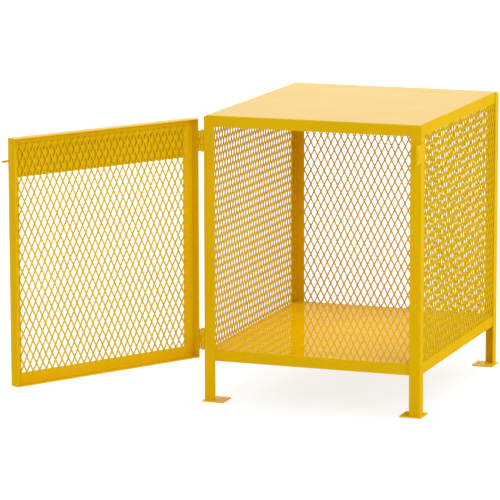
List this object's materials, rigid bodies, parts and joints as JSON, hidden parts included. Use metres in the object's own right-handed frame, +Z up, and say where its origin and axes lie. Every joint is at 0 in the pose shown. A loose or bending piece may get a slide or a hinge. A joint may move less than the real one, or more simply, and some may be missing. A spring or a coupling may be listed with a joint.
{
  "type": "gas cylinder cabinet",
  "caption": "Steel storage cage for gas cylinders: angle-iron posts on foot plates, sheet roof and floor, expanded-metal walls and a hinged mesh door closed by a slide bolt.",
  "frame": {"origin": "on the ground, midway between the anchor holes of the foot plates", "axes": "+X to the right for someone facing the door side, -Y to the front, +Z up; at rest the door stands open as in the picture"},
  "size_m": [1.2291, 1.5527, 0.9787],
  "materials": {
    "frame_paint": "gloss safety yellow",
    "mesh_paint": "gloss safety yellow over flattened expanded metal",
    "hardware_paint": "gloss safety yellow over hinges and slide bolt"
  },
  "bodies": {
    "cabinet": {"post_front_left": "frame_paint", "post_front_right": "frame_paint", "post_rear_right": "frame_paint", "post_rear_left": "frame_paint", "foot_front_left": "frame_paint", "foot_front_right": "frame_paint", "foot_rear_right": "frame_paint", "foot_rear_left": "frame_paint", "roof_pan": "frame_paint", "floor_pan": "frame_paint", "mesh_left": "mesh_paint", "mesh_right": "mesh_paint", "mesh_back": "mesh_paint", "hinge_upper_post_leaf": "hardware_paint", "hinge_upper_pin": "hardware_paint", "hinge_lower_post_leaf": "hardware_paint", "hinge_lower_pin": "hardware_paint", "bolt_keeper": "hardware_paint"},
    "door": {"door_hinge_stile": "frame_paint", "door_lock_stile": "frame_paint", "door_top_rail": "frame_paint", "door_bottom_rail": "frame_paint", "door_mesh": "mesh_paint", "door_sign_plate": "frame_paint", "hinge_upper_door_leaf": "hardware_paint", "hinge_lower_door_leaf": "hardware_paint", "bolt_guide_outer": "hardware_paint", "bolt_guide_inner": "hardware_paint"},
    "bolt": {"slide_bolt": "hardware_paint"}
  },
  "joints": [
    {"name": "door_swing", "type": "hinge", "parent": "cabinet", "child": "door", "pos_m": [-0.389, -0.4512, 0.558], "axis": [0, 0, -1], "range_deg": [-121.5, 68.5]},
    {"name": "bolt_slide", "type": "slide", "parent": "door", "child": "bolt", "axis": [-0.5225, -0.8526, 0], "range_m": [-0.02, 0.022]}
  ]
}
